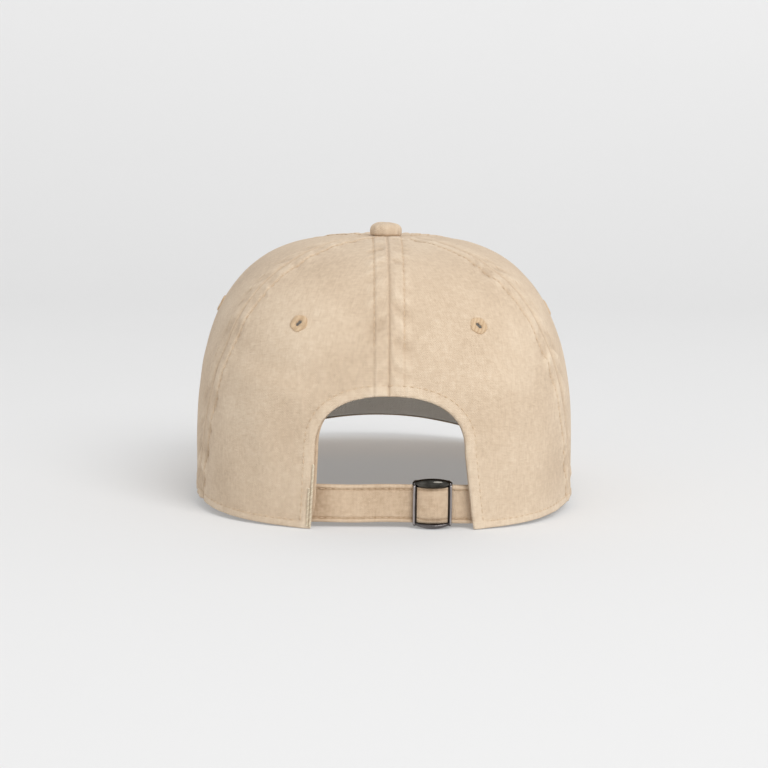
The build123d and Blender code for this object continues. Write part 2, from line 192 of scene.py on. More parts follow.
def noise(points, scale, seed):
    """Value noise from -1 to 1, where scale is the size of a lump in mm."""
    lattice = np.random.default_rng(seed).random((NOISE_CELLS,) * 3) * 2 - 1
    p = np.asarray(points, float) / scale + 1000.0
    cell = np.floor(p).astype(int)
    f = p - cell
    f = f * f * (3 - 2 * f)
    total = 0
    for corner in np.ndindex(2, 2, 2):
        weight = 1.0
        for axis, step in enumerate(corner):
            weight = weight * (f[..., axis] if step else 1 - f[..., axis])
        at = (cell + corner) % NOISE_CELLS
        total = total + weight * lattice[at[..., 0], at[..., 1], at[..., 2]]
    return total


def lengths(path):
    """How far along a path each of its points is."""
    return np.concatenate([[0], np.cumsum(np.linalg.norm(np.diff(path, axis=0), axis=1))])


def from_back(angle):
    """An angle as -180 to 180 from the middle of the back."""
    return (angle + 180) % 360 - 180


def unit(v):
    return v / np.maximum(np.linalg.norm(v, axis=-1, keepdims=True), 1e-9)


# ---- crown surface ----
def plan_radius(angle):
    a = np.radians(angle)
    depth = np.where(np.cos(a) >= 0, BACK_DEPTH, FRONT_DEPTH)
    across = np.abs(np.sin(a) / HALF_WIDTH) ** PLAN_POWER
    along = np.abs(np.cos(a) / depth) ** PLAN_POWER
    return (across + along) ** (-1 / PLAN_POWER)


def visor_z(x, y):
    return VISOR_TOP_Z - VISOR_DROOP * (-y - FRONT_DEPTH) - x * x / (2 * VISOR_CURVE_R)


def at_visor(angle):
    """From 0 round the back to 1 where the hem meets the visor."""
    return smooth(np.abs(from_back(angle)), VISOR_FROM, VISOR_FULL)


def hem_z(angle, depth=0.0):
    a = np.radians(angle)
    r = plan_radius(angle) - depth
    plane = FRONT_LIFT * (BACK_DEPTH - r * np.cos(a)) / (BACK_DEPTH + FRONT_DEPTH)
    blend = at_visor(angle)
    return plane * (1 - blend) + visor_z(r * np.sin(a), r * np.cos(a)) * blend


def dome(height):
    t = np.asarray(height) * math.pi / 2
    k = (np.cos(t) ** DOME_POWER + np.sin(t) ** DOME_POWER) ** (-1 / DOME_POWER)
    return np.cos(t) * k, np.sin(t) * k


def crown(angle, height, depth=0.0):
    angle, height = np.broadcast_arrays(np.asarray(angle, float), np.asarray(height, float))
    a = np.radians(angle)
    out, up = dome(height)
    r = (plan_radius(angle) - depth) * out
    low = hem_z(angle, depth)
    z = low + (CROWN_HEIGHT - depth - low) * up
    return np.stack([r * np.sin(a), r * np.cos(a), z], -1)


def crown_normal(angle, height):
    here = crown(angle, height)
    round_step = crown(np.asarray(angle) + 0.3, height) - here
    up_step = crown(angle, np.asarray(height) + 0.003) - here
    return unit(np.cross(up_step, round_step))


def seam_angle(pair, height):
    return pair[0] + (pair[1] - pair[0]) * height


SEAMS = [(CENTRE_BACK, 1), (BACK_SEAM, 1), (BACK_SEAM, -1), (FRONT_SEAM, 1), (FRONT_SEAM, -1),
         (CENTRE_FRONT, 1)]


def seam_distance(angle, height):
    """Distance to the nearest seam, and which seam it is."""
    r = plan_radius(angle) * dome(height)[0]
    gaps = []
    for pair, side in SEAMS:
        off = from_back(angle - side * seam_angle(pair, height))
        gaps.append(np.abs(np.radians(off)) * r)
    gaps = np.array(gaps)
    return gaps.min(0), gaps.argmin(0)


def arch_distance(x, z):
    """Distance outside the rear opening's edge, below zero inside it."""
    spring = np.where(x > 0, ARCH_HALF_LEFT, ARCH_HALF_RIGHT)
    foot = np.where(x > 0, ARCH_FOOT_LEFT, ARCH_FOOT_RIGHT)
    half = spring + (foot - spring) * np.clip(1 - z / ARCH_SPRING_Z, 0, 1)
    rise = ARCH_TOP_Z - ARCH_SPRING_Z
    up = np.maximum(z - ARCH_SPRING_Z, 0)
    share = ((np.abs(x) / spring) ** ARCH_POWER + (up / rise) ** ARCH_POWER) ** (1 / ARCH_POWER)
    share = np.maximum(share, 1e-3)
    curved = np.hypot(x, up) * (1 - 1 / share)
    return np.where(z >= ARCH_SPRING_Z, curved, np.abs(x) - half)


def arch_distance_behind(p):
    """The same for points on the crown, where those at the front are simply far away."""
    return np.where(p[..., 1] > 0, arch_distance(p[..., 0], p[..., 2]), 1e3)


# Soft folds that the washed cloth holds: middle (x, z), direction, half length, half width, depth.
FOLDS = [
    (52.0, 68.0, 15.0, 34.0, 7.0, -0.8),
    (48.0, 59.0, 18.0, 30.0, 6.0, 0.5),
    (-50.0, 74.0, -24.0, 26.0, 7.0, -0.6),
    (62.0, 34.0, 80.0, 22.0, 6.0, -0.7),
    (-60.0, 38.0, 96.0, 24.0, 7.0, -0.6),
    (30.0, 100.0, 32.0, 22.0, 5.0, -0.5),
    (-34.0, 101.0, -28.0, 24.0, 5.0, -0.5),
]


def folds(p):
    total = np.zeros(p.shape[:-1])
    behind = smooth(p[..., 1], 10, 40)
    for x, z, turn, reach, wide, depth in FOLDS:
        c = math.cos(math.radians(turn))
        s = math.sin(math.radians(turn))
        dx = p[..., 0] - x
        dz = p[..., 2] - z
        along = dx * c + dz * s
        across = -dx * s + dz * c
        total += depth * np.exp(-(along / reach) ** 2 - (across / wide) ** 2)
    return total * behind


def seam_allowance(gap):
    """The cloth turned back and sewn down beside a seam."""
    return 0.4 * (1 - smooth(gap, 5.4, 7.4))


def top_fullness(r):
    """The cloth over the seams' crossing makes the top a little fuller than the smooth crown."""
    return 0.9 * (1 - smooth(r, 20, 75))


def relief(angle, height):
    """How far the cloth stands out from the smooth crown, in mm."""
    p = crown(angle, height)
    gap, which = seam_distance(angle, height)
    r = np.hypot(p[..., 0], p[..., 1])
    fade = smooth(r, 7, 20)
    along = np.stack([height * CLOTH_RISE + gap * 0.5, which * 37.0 + gap * 0.2,
                      np.sign(p[..., 0]) * 9.0], -1)
    arch = arch_distance_behind(p)
    hem = p[..., 2] - hem_z(angle)
    soft = noise(p, 42, 3) * 0.75 + noise(p, 21, 4) * 0.28 + noise(p, 9, 5) * 0.1
    out = soft * smooth(gap, 2, 20) * smooth(arch, 0, 15) + folds(p) + top_fullness(r)
    groove = -0.5 * np.exp(-(gap / 0.6) ** 2)
    row = -0.34 * np.exp(-((gap - SEAM_ROW) / 0.6) ** 2)
    ripple = noise(along, 2.6, 6) * 0.5 + noise(along, 5.5, 7) * 0.5
    window = smooth(gap, 0.6, 3.0) * (1 - smooth(gap, 7.0, 11.0))
    out = out + (groove + seam_allowance(gap) + row + 1.25 * ripple * window) * fade
    for distance, line, seed in ((arch, ARCH_STITCH, 8), (hem, HEM_ROW, 9)):
        turned = 0.3 * (1 - smooth(distance, line - 0.4, line + 1.2))
        sewn = -0.22 * np.exp(-((distance - line) / 0.6) ** 2)
        pull = noise(p, 3.2, seed) * 0.2 * (1 - smooth(distance, line + 1, line + 6))
        out = out + turned + sewn + pull
    return out * smooth(r, 2.4, 9)


def cloth(angle, height, lift=0.0):
    away = (relief(angle, height) + lift)[..., None]
    return crown(angle, height) + crown_normal(angle, height) * away


def locate(x, z):
    """Angle and height of the points at these x and z on the back of the crown."""
    angle = np.degrees(np.arctan2(x, 96.0))
    height = np.arctan2(z, CROWN_HEIGHT) / (math.pi / 2)
    for _ in range(12):
        here = crown(angle, height)
        da = (crown(angle + ANGLE_STEP, height) - here) / ANGLE_STEP
        dh = (crown(angle, height + HEIGHT_STEP) - here) / HEIGHT_STEP
        ex = x - here[..., 0]
        ez = z - here[..., 2]
        det = da[..., 0] * dh[..., 2] - dh[..., 0] * da[..., 2]
        angle = angle + (ex * dh[..., 2] - ez * dh[..., 0]) / det
        height = height + (da[..., 0] * ez - da[..., 2] * ex) / det
    return angle, height


def piece(name, points, faces, material, uv=None, tone=None, body="cap", replaces=()):
    """A mesh from points in millimetres. A name that a CAD node has gets _detail after it."""
    label = name + "_detail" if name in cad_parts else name
    mesh = bpy.data.meshes.new(label)
    mesh.from_pydata((np.asarray(points) * MM).tolist(), [], [tuple(map(int, f)) for f in faces])
    mesh.validate()
    if uv is not None:
        loops = np.zeros(len(mesh.loops), int)
        mesh.loops.foreach_get("vertex_index", loops)
        layer = mesh.uv_layers.new(name="cloth")
        layer.data.foreach_set("uv", np.asarray(uv, np.float32)[loops].ravel())
    if tone is not None:
        attribute = mesh.attributes.new("tone", "FLOAT", "POINT")
        attribute.data.foreach_set("value", np.asarray(tone, np.float32))
    mesh.shade_smooth()
    mesh.materials.append(material)
    obj = bpy.data.objects.new(label, mesh)
    bpy.context.scene.collection.objects.link(obj)
    if body:
        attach(obj, body)
    if replaces:
        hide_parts(*replaces)
    return obj


def solidify(obj, thickness):
    thick = obj.modifiers.new("thickness", "SOLIDIFY")
    thick.thickness = thickness * MM
    thick.offset = -1.0
    thick.use_rim = True
    return obj


def grid_faces(rows, columns, closed=False):
    wide = columns if closed else columns - 1
    i, j = np.meshgrid(np.arange(rows - 1), np.arange(wide), indexing="ij")
    i = i.ravel()
    j = j.ravel()
    k = (j + 1) % columns
    return np.stack([i * columns + j, i * columns + k, (i + 1) * columns + k, (i + 1) * columns + j], 1)


def tube_faces(rings, sides):
    """The wall and the two ends of a tube."""
    faces = grid_faces(rings, sides, closed=True).tolist()
    faces.append(list(reversed(range(sides))))
    faces.append([(rings - 1) * sides + k for k in range(sides)])
    return faces


def crowded(count, amount):
    """Shares from 0 to 1 that lie closer together towards both ends."""
    t = np.linspace(0, 1, count)
    return t - amount * np.sin(2 * math.pi * t) / (2 * math.pi)


def gap_to_arch(angle, height):
    p = crown(angle, height)
    return arch_distance(p[..., 0], p[..., 2])


def snap_to_arch(angle, height, index):
    """Moves the points at index onto the opening's edge."""
    for _ in range(6):
        a = angle[index]
        h = height[index]
        gap = gap_to_arch(a, h)
        slope_a = (gap_to_arch(a + ANGLE_STEP, h) - gap) / ANGLE_STEP
        slope_h = (gap_to_arch(a, h + HEIGHT_STEP) - gap) / HEIGHT_STEP
        scale = np.maximum(slope_a ** 2 + SNAP_UP * slope_h ** 2, 1e-9)
        angle[index] = a - gap * slope_a / scale
        height[index] = np.maximum(h - gap * SNAP_UP * slope_h / scale, 0)


def crown_panel(name, first, last, eyelet, material):
    """One panel between two seams, with the rear opening cut out of it if it reaches that far."""
    columns, rows = 128, 232
    u = crowded(columns, 0.72)
    h = np.linspace(0, 1, rows) ** 1.05 * TOP_OF_CLOTH
    height = np.repeat(h, columns)
    a = first(h)[:, None]
    b = last(h)[:, None]
    angle = (a + (b - a) * u).ravel()
    faces = grid_faces(rows, columns)
    p = crown(angle, height)
    middle = p[faces].mean(1)
    keep = np.ones(len(faces), bool)
    if "back" in name:
        inside = arch_distance(middle[:, 0], middle[:, 2]) < 0
        edge = np.intersect1d(np.unique(faces[inside]), np.unique(faces[~inside]))
        snap_to_arch(angle, height, edge)
        keep &= ~inside
    centre = crown(eyelet, EYELET_HEIGHT)
    keep &= np.linalg.norm(middle - centre, axis=1) > EYELET_HOLE
    faces = faces[keep]
    used, faces = np.unique(faces, return_inverse=True)
    faces = faces.reshape(-1, 4)
    if last(0.5) < first(0.5):
        faces = faces[:, ::-1]
    angle = angle[used]
    height = height[used]
    out = relief(angle, height)
    points = crown(angle, height) + crown_normal(angle, height) * out[:, None]
    mid = (np.mean(first(h)) + np.mean(last(h))) / 2
    across = np.radians(angle - mid) * plan_radius(angle) * dome(height)[0]
    gap, _ = seam_distance(angle, height)
    # Tone is the relief less the broad folds: darker in seam grooves and sunken stitch rows as painted
    # shade, paler on puckers and turned edges, partly wear and partly painted light.
    flat_cloth = soft_only(angle, height) + seam_allowance(gap)
    obj = piece(name, points, faces[:, ::-1], material, np.stack([across, height * CLOTH_RISE], 1),
                out - flat_cloth, replaces=[name])
    return solidify(obj, PANEL_T)


# ---- materials ----
def linear(*rgb):
    """A colour given as 0 to 255 screen values, as the shader wants it."""
    return [((c / 255 + 0.055) / 1.055) ** 2.4 for c in rgb]


class Finish:
    """A Principled material and the nodes that feed it."""

    def __init__(self, name, roughness, metallic=0.0, sheen=0.0, specular=0.5):
        self.material = bpy.data.materials.new(name)
        self.material.use_nodes = True
        self.nodes = self.material.node_tree.nodes
        self.shader = self.nodes["Principled BSDF"]
        settings = {"Roughness": roughness, "Metallic": metallic, "Sheen Weight": sheen,
                    "Sheen Roughness": 0.6, "Specular IOR Level": specular}
        for socket, value in settings.items():
            self.shader.inputs[socket].default_value = value

    def wire(self, value, socket):
        if isinstance(value, bpy.types.NodeSocket):
            self.material.node_tree.links.new(value, socket)
        else:
            socket.default_value = value

    def feed(self, value, name):
        self.wire(value, self.shader.inputs[name])

    def node(self, kind, inputs=None, **settings):
        node = self.nodes.new("ShaderNode" + kind)
        for name, setting in settings.items():
            setattr(node, name, setting)
        for socket, value in (inputs or {}).items():
            self.wire(value, node.inputs[socket])
        return node

    def place(self):
        return self.node("TexCoord").outputs["Object"]

    def cloth_place(self):
        return self.node("UVMap", uv_map="cloth").outputs["UV"]

    def tone(self):
        return self.node("Attribute", attribute_name="tone").outputs["Fac"]

    def math(self, kind, *values):
        return self.node("Math", dict(enumerate(values)), operation=kind).outputs[0]

    def total(self, start, *terms):
        """start plus each (value, weight), with the value counted from its middle, 0.5."""
        value = start
        for term, weight in terms:
            value = self.math("ADD", value, self.math("MULTIPLY", self.math("SUBTRACT", term, 0.5), weight))
        return value

    def scaled(self, vector, *scale):
        return self.node("Mapping", {"Vector": vector, "Scale": scale}).outputs["Vector"]

    def noise(self, vector, scale, detail=3.0):
        inputs = {"Vector": vector, "Scale": scale, "Detail": detail}
        return self.node("TexNoise", inputs).outputs["Fac"]

    def wave(self, vector, scale, direction, distortion):
        inputs = {"Vector": vector, "Scale": scale, "Distortion": distortion, "Detail": 2.0}
        return self.node("TexWave", inputs, bands_direction=direction).outputs["Fac"]

    def ramp(self, value, *stops):
        node = self.node("ValToRGB", {"Fac": value})
        elements = node.color_ramp.elements
        while len(elements) < len(stops):
            elements.new(0.5)
        for element, (place, color) in zip(elements, stops):
            element.position = place
            element.color = (*color, 1)
        return node.outputs["Color"]

    def bump(self, height, strength, distance):
        node = self.node("Bump", {"Height": height, "Strength": strength, "Distance": distance})
        self.feed(node.outputs["Normal"], "Normal")


def woven(name, dark, mid, light, blotch=1.0, diagonal=True):
    """Washed woven cloth: ribs, thick threads, patches, painted shade in its grooves, and paler threads
    where it stands up, partly wear and partly painted light.
    """
    f = Finish(name, 0.9, sheen=0.1, specular=0.2)
    uv = f.cloth_place()
    rib = f.wave(uv, TWILL_SCALE, "DIAGONAL" if diagonal else "X", 0.5)
    yarn = f.wave(uv, TWILL_SCALE * 0.7, "Y", 0.8)
    slub = f.noise(f.scaled(uv, 1.5, 0.22, 1.0), 1.0, 4.0)
    weft = f.noise(f.scaled(uv, 0.3, 1.7, 1.0), 1.0, 4.0)
    wash = f.noise(f.place(), 30.0, 6.0)
    speck = f.noise(f.place(), 520.0, 3.0)
    value = f.total(0.5, (wash, 0.5 * blotch), (slub, 0.42), (weft, 0.32), (speck, 0.5), (rib, 0.12))
    # The tone attribute darkens grooves and creases with painted shade and lightens raised cloth, partly as
    # wear and partly as painted light.
    value = f.math("ADD", value, f.math("MULTIPLY", f.tone(), 0.4))
    f.feed(f.ramp(value, (0.0, dark), (0.5, mid), (1.0, light)), "Base Color")
    f.feed(f.total(0.9, (wash, 0.14)), "Roughness")
    f.bump(f.total(0.5, (rib, 1.0), (yarn, 0.5), (slub, 0.9), (weft, 0.7), (speck, 0.9)), 0.4, 0.0004)
    return f.material


def thread_finish(name, dark, light):
    """Sewing thread: a fine twist, and a colour that drifts along the row."""
    f = Finish(name, 0.6, sheen=0.1, specular=0.35)
    twist = f.wave(f.place(), 300.0, "DIAGONAL", 0.4)
    drift = f.noise(f.place(), 90.0)
    f.feed(f.ramp(f.total(0.5, (drift, 0.8), (twist, 0.4)), (0.1, dark), (0.9, light)), "Base Color")
    f.bump(twist, 0.4, 0.0001)
    return f.material


def fibre_finish(name, dark, light, scale, roughness=0.9):
    """Felt, board or stiffened open weave."""
    f = Finish(name, roughness, specular=0.2)
    fibre = f.noise(f.place(), scale, 6.0)
    patch = f.noise(f.place(), 40.0, 3.0)
    weft = f.wave(f.place(), scale * 0.2, "Z", 1.2)
    value = f.total(0.5, (fibre, 0.8), (patch, 0.5), (weft, 0.25))
    f.feed(f.ramp(value, (0.1, dark), (0.9, light)), "Base Color")
    f.bump(f.total(0.5, (fibre, 1.0), (weft, 0.8)), 0.35, 0.0003)
    return f.material


def metal_finish(name, dark, light, roughness):
    """Plated metal: random stains, fine scratches and soft wear, with light and shade painted in through the
    tone attribute.
    """
    f = Finish(name, roughness, metallic=1.0)
    stain = f.noise(f.place(), 260.0, 4.0)
    scratch = f.noise(f.scaled(f.place(), 1.0, 1.0, 9.0), 900.0, 2.0)
    # The tone attribute adds painted light and shade to the colour; the stain noise varies at random.
    value = f.math("ADD", f.total(0.5, (stain, 0.5)), f.math("MULTIPLY", f.tone(), 0.5))
    f.feed(f.ramp(value, (0.1, dark), (0.9, light)), "Base Color")
    f.feed(f.total(roughness, (scratch, 0.16), (stain, 0.1)), "Roughness")
    f.bump(scratch, 0.08, 0.0001)
    return f.material


TWILL = woven("twill", linear(184, 160, 134), linear(214, 192, 166), linear(236, 218, 194))
STRAP_TWILL = woven("strap_twill", linear(164, 134, 104), linear(207, 182, 154), linear(232, 210, 183))
LINING = woven("tape_weave", linear(196, 176, 150), linear(214, 198, 174), linear(228, 214, 194),
               blotch=0.5, diagonal=False)
BAND = woven("sweatband_cotton", linear(222, 220, 214), linear(236, 234, 229), linear(244, 242, 238),
             blotch=0.5)
THREAD = thread_finish("thread", linear(188, 160, 128), linear(226, 203, 172))
PALE_THREAD = thread_finish("pale_thread", linear(205, 188, 160), linear(240, 228, 206))
SATIN = thread_finish("satin_thread", linear(190, 160, 126), linear(222, 196, 162))
BUCKRAM = fibre_finish("buckram", linear(214, 212, 208), linear(238, 237, 234), 500.0)
FELT = fibre_finish("interlining_felt", linear(212, 208, 200), linear(236, 233, 226), 800.0)
BOARD = fibre_finish("visor_board", linear(196, 192, 184), linear(228, 225, 218), 300.0, 0.7)
ANTIQUE = metal_finish("antique_silver", linear(50, 46, 45), linear(178, 172, 172), 0.3)
# The buckle's own metal with a darker colour, which paints in the dark reflection on the top bar.
DARK_PAINTED_GLOSS = metal_finish("polished_silver_painted_dark", linear(52, 50, 46), linear(150, 147, 141), 0.17)
STEEL = metal_finish("dull_steel", linear(110, 110, 110), linear(170, 170, 170), 0.45)


# ---- sewing ----
def sew(name, rows, material, body="cap", length=STITCH, pitch=STITCH_PITCH, radius=THREAD_R):
    """Rows of raised stitches, each row a path and the directions that face away from the cloth."""
    points = []
    for path, away in rows:
        along = lengths(path)
        starts = np.arange(int(along[-1] / pitch)) * pitch + (pitch - length) / 2
        at = starts[:, None] + RING_AT * length
        middle = np.stack([np.interp(at, along, path[:, k]) for k in range(3)], -1)
        normal = unit(np.stack([np.interp(at, along, away[:, k]) for k in range(3)], -1))
        ahead = unit(middle[:, -1:] - middle[:, :1])
        side = unit(np.cross(ahead, normal))
        turn = np.arange(THREAD_SIDES) / THREAD_SIDES * 2 * math.pi
        thick = radius * RING_THICK[None, :, None, None]
        spoke = np.cos(turn)[:, None] * side[:, :, None] + np.sin(turn)[:, None] * normal[:, :, None]
        lifted = middle + normal * (radius * RING_LIFT)[None, :, None]
        points.append((lifted[:, :, None] + spoke * thick).reshape(-1, 3))
    points = np.concatenate(points)
    size = len(RING_AT) * THREAD_SIDES
    base = np.arange(len(points) // size) * size
    tube = grid_faces(len(RING_AT), THREAD_SIDES, closed=True)
    faces = (base[:, None, None] + tube).reshape(-1, 4).tolist()
    near = list(range(THREAD_SIDES))
    far = [size - THREAD_SIDES + k for k in near]
    for b in base:
        faces.append([b + k for k in reversed(near)])
        faces.append([b + k for k in far])
    return piece(name, points, faces, material, body=body)


def height_above_hem(angle, rise):
    return rise / (CROWN_HEIGHT - hem_z(angle)) * 2 / math.pi


def beside(pair, side, shift):
    """An edge that runs shift mm from a seam, towards the front."""
    def at(h):
        r = plan_radius(seam_angle(pair, h)) * dome(h)[0]
        return side * (seam_angle(pair, h) + np.degrees(shift / r))
    return at


def seam_rows(pair, side, low, high):
    """The two stitch rows beside a seam."""
    h = np.linspace(low, high, 160)
    rows = []
    for shift in (-SEAM_ROW, SEAM_ROW):
        angle = beside(pair, side, side * shift)(h)
        rows.append((cloth(angle, h), crown_normal(angle, h)))
    return rows


def hem_row():
    angle = np.linspace(HEM_FROM, HEM_TO, 700)
    height = height_above_hem(angle, HEM_ROW)
    return cloth(angle, height), crown_normal(angle, height)


def arch_path(grow, foot_z=3.0, count=60):
    """x and z round the rear opening, grown outwards, from the left foot to the right foot."""
    t = np.linspace(0, math.pi, count)
    half = np.where(np.cos(t) > 0, ARCH_HALF_LEFT, ARCH_HALF_RIGHT) + grow
    rise = ARCH_TOP_Z - ARCH_SPRING_Z + grow
    x = half * np.sign(np.cos(t)) * np.abs(np.cos(t)) ** (2 / ARCH_POWER)
    z = ARCH_SPRING_Z + rise * np.sin(t) ** (2 / ARCH_POWER)
    down = np.linspace(foot_z, ARCH_SPRING_Z, 16)[:-1]
    spread = 1 - down / ARCH_SPRING_Z
    left = grow + ARCH_HALF_LEFT + (ARCH_FOOT_LEFT - ARCH_HALF_LEFT) * spread
    right = -grow - ARCH_HALF_RIGHT - (ARCH_FOOT_RIGHT - ARCH_HALF_RIGHT) * spread
    return np.concatenate([left, x, right[::-1]]), np.concatenate([down, z, down[::-1]])


def arch_row():
    angle, height = locate(*arch_path(ARCH_STITCH))
    return cloth(angle, height), crown_normal(angle, height)


# ---- crown ----
def constant(angle):
    return lambda h: np.zeros_like(h) + angle


def along_seam(pair, side):
    return lambda h: side * seam_angle(pair, h)


def make_crown():
    for name, side in (("left", 1), ("right", -1)):
        crown_panel("back_panel_" + name, constant(0.0), along_seam(BACK_SEAM, side),
                    side * EYELETS["back"], TWILL)
        crown_panel("side_panel_" + name, along_seam(BACK_SEAM, side), along_seam(FRONT_SEAM, side),
                    side * EYELETS["side"], TWILL)
        crown_panel("front_panel_" + name, along_seam(FRONT_SEAM, side), constant(side * 180.0),
                    side * EYELETS["front"], TWILL)
    rows = seam_rows(CENTRE_BACK, 1, 0.39, 0.93) + seam_rows(CENTRE_FRONT, 1, 0.03, 0.93)
    for side in (1, -1):
        rows += seam_rows(BACK_SEAM, side, 0.012, 0.93)
        rows += seam_rows(FRONT_SEAM, side, 0.03, 0.93)
    sew("panel_stitching", rows, THREAD)
    sew("hem_stitching", [hem_row()], THREAD)
    sew("arch_stitching", [arch_row()], THREAD)


def make_eyelet(name, angle, lean):
    """A raised embroidered ring round a narrow slit."""
    round_count, section_count = 132, 14
    spokes = 33
    place = cloth(angle, EYELET_HEIGHT)
    normal = crown_normal(angle, EYELET_HEIGHT)
    level = unit(np.array([normal[1], -normal[0], 0.0]))
    upright = np.cross(normal, level)
    u = np.arange(round_count) / round_count * 2 * math.pi
    w = np.arange(section_count) / section_count * 2 * math.pi
    uu, ww = np.meshgrid(u, w, indexing="ij")
    slit = np.abs(np.cos(uu - math.radians(90 + lean)))
    inner = 0.6 + 0.85 * slit ** 1.5
    outer = 3.85 + 0.14 * np.sin(5 * uu + angle) + 0.12 * np.sin(spokes * uu)
    middle = (inner + outer) / 2
    half = (outer - inner) / 2
    ridge = 0.09 * np.sin(spokes * uu) * (np.sin(ww) > 0)
    radius = middle + half * np.cos(ww)
    lift = (0.55 + ridge) * np.sin(ww) * np.where(np.sin(ww) > 0, 1, 1.3)
    points = (place + level * (radius * np.cos(uu))[..., None] + upright * (radius * np.sin(uu))[..., None]
              + normal * lift[..., None])
    ring = np.arange(round_count * section_count).reshape(round_count, section_count)
    after = np.roll(ring, -1, 0)
    faces = np.stack([ring, after, np.roll(after, -1, 1), np.roll(ring, -1, 1)], -1).reshape(-1, 4)
    piece(name, points.reshape(-1, 3), faces, SATIN, replaces=[name])


def make_eyelets():
    for place, angle in EYELETS.items():
        for name, side in (("left", 1), ("right", -1)):
            make_eyelet(f"eyelet_{place}_{name}", side * angle, side * -38)


# ---- top button ----
def make_button():
    """A flat dome covered in cloth, with a fold across it and its edge drawn in underneath."""
    box_low, box_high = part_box("button_cover")
    radius = (box_high.x - box_low.x) / 2 / MM
    low = box_low.z / MM
    tall = (box_high.z - box_low.z) / MM + BUTTON_FULLNESS
    around, rings = 96, 34
    t = np.linspace(0.03, 1.35, rings)[:, None]
    u = (np.arange(around) / around * 2 * math.pi)[None, :]
    bend = np.minimum(t, 1.0) * math.pi / 2
    tucked = np.maximum(t - 1, 0) / 0.35
    r = radius * (np.sin(bend) ** 0.62 - 0.3 * tucked ** 2)
    z = low + 2.0 + (tall - 2.0) * np.maximum(np.cos(bend), 0) ** 0.62 - 2.1 * tucked
    x = r * np.cos(u)
    y = r * np.sin(u)
    z = z + 0 * u
    points = np.stack([x, y, z], -1)
    across = x * 0.5 + y * 0.86
    crease = -0.3 * np.exp(-((across - 1.4) / 0.6) ** 2) + 0.25 * np.exp(-((across - 0.2) / 0.8) ** 2)
    bumps = noise(points, 3.1, 21) * 0.2 + 0.1 * np.sin(9 * u) * smooth(t, 0.6, 0.9)
    out = unit(points - np.array([0, 0, low + 1.5]))
    points = points + out * (crease + bumps)[..., None]
    flat = points.reshape(-1, 3)
    uv = np.stack([flat[:, 0], flat[:, 1] + flat[:, 2]], 1)
    faces = grid_faces(rings, around, closed=True)[:, ::-1].tolist()
    faces.append(list(range(around)))
    # Tone: darker in the fold across the top and on the edge drawn in underneath, which is painted shade,
    # and lighter on the ridge beside the fold.
    tone = (crease + bumps - 0.8 * smooth(t, 1.05, 1.3)).ravel()
    obj = piece("top_button", flat, faces, TWILL, uv, tone, replaces=["button_cover"])
    return solidify(obj, 0.4)


# ---- visor ----
def spline(points, per_span=10):
    """A smooth curve through points that may be unevenly spaced."""
    points = np.asarray(points, float)
    knots = lengths(points)
    slope = np.gradient(points, knots, axis=0)
    out = []
    for i in range(len(points) - 1):
        s = np.linspace(0, 1, per_span, endpoint=False)[:, None]
        wide = knots[i + 1] - knots[i]
        out.append((2 * s ** 3 - 3 * s ** 2 + 1) * points[i] + (s ** 3 - 2 * s ** 2 + s) * wide * slope[i]
                   + (-2 * s ** 3 + 3 * s ** 2) * points[i + 1] + (s ** 3 - s ** 2) * wide * slope[i + 1])
    return np.concatenate([*out, points[-1:]])


def resample(path, count):
    along = lengths(path)
    at = np.linspace(0, along[-1], count)
    return np.stack([np.interp(at, along, path[:, k]) for k in range(path.shape[1])], 1)


def visor_outline(count):
    """x and y along the visor's outer edge, from the left tip round the front to the right tip."""
    corner = crown(VISOR_CORNER, 0.0)
    front = -FRONT_DEPTH - VISOR_REACH
    t = np.radians(np.arange(1, 12) * 90 / 12)
    x = VISOR_HALF_WIDTH * np.cos(t) ** (2 / VISOR_EDGE_POWER)
    y = VISOR_WIDEST_Y + (front - VISOR_WIDEST_Y) * np.sin(t) ** (2 / VISOR_EDGE_POWER)
    half = [(corner[0] - 0.6, corner[1] + 1.0), (VISOR_HALF_WIDTH * 0.985, VISOR_WIDEST_Y + 16),
            (VISOR_HALF_WIDTH, VISOR_WIDEST_Y), *zip(x, y)]
    mirrored = [(-px, py) for px, py in reversed(half)]
    return resample(spline([*half, (0, front), *mirrored]), count)


def edge_distance(points, edge):
    gaps = np.linalg.norm(points[:, None, :2] - edge[None, ::2], axis=2)
    return gaps.min(1)


def visor_relief(points, edge, seed):
    gap = edge_distance(points, edge)
    out = noise(points, 30, seed) * 0.25 + noise(points, 11, seed + 1) * 0.12
    for row in VISOR_ROWS:
        sewn = np.exp(-((gap - row) / 0.9) ** 2)
        out = out + sewn * (noise(points, 2.8, seed + 2) * 0.12 - 0.28)
    return out * smooth(gap, 0.4, 2.5)


def away_from_middle(edge):
    """Directions in plan that point out of the visor along its edge."""
    run = unit(np.gradient(edge, axis=0))
    out = np.stack([-run[:, 1], run[:, 0]], 1)
    return out * np.sign((out * (edge - VISOR_MIDDLE)).sum(1))[:, None]


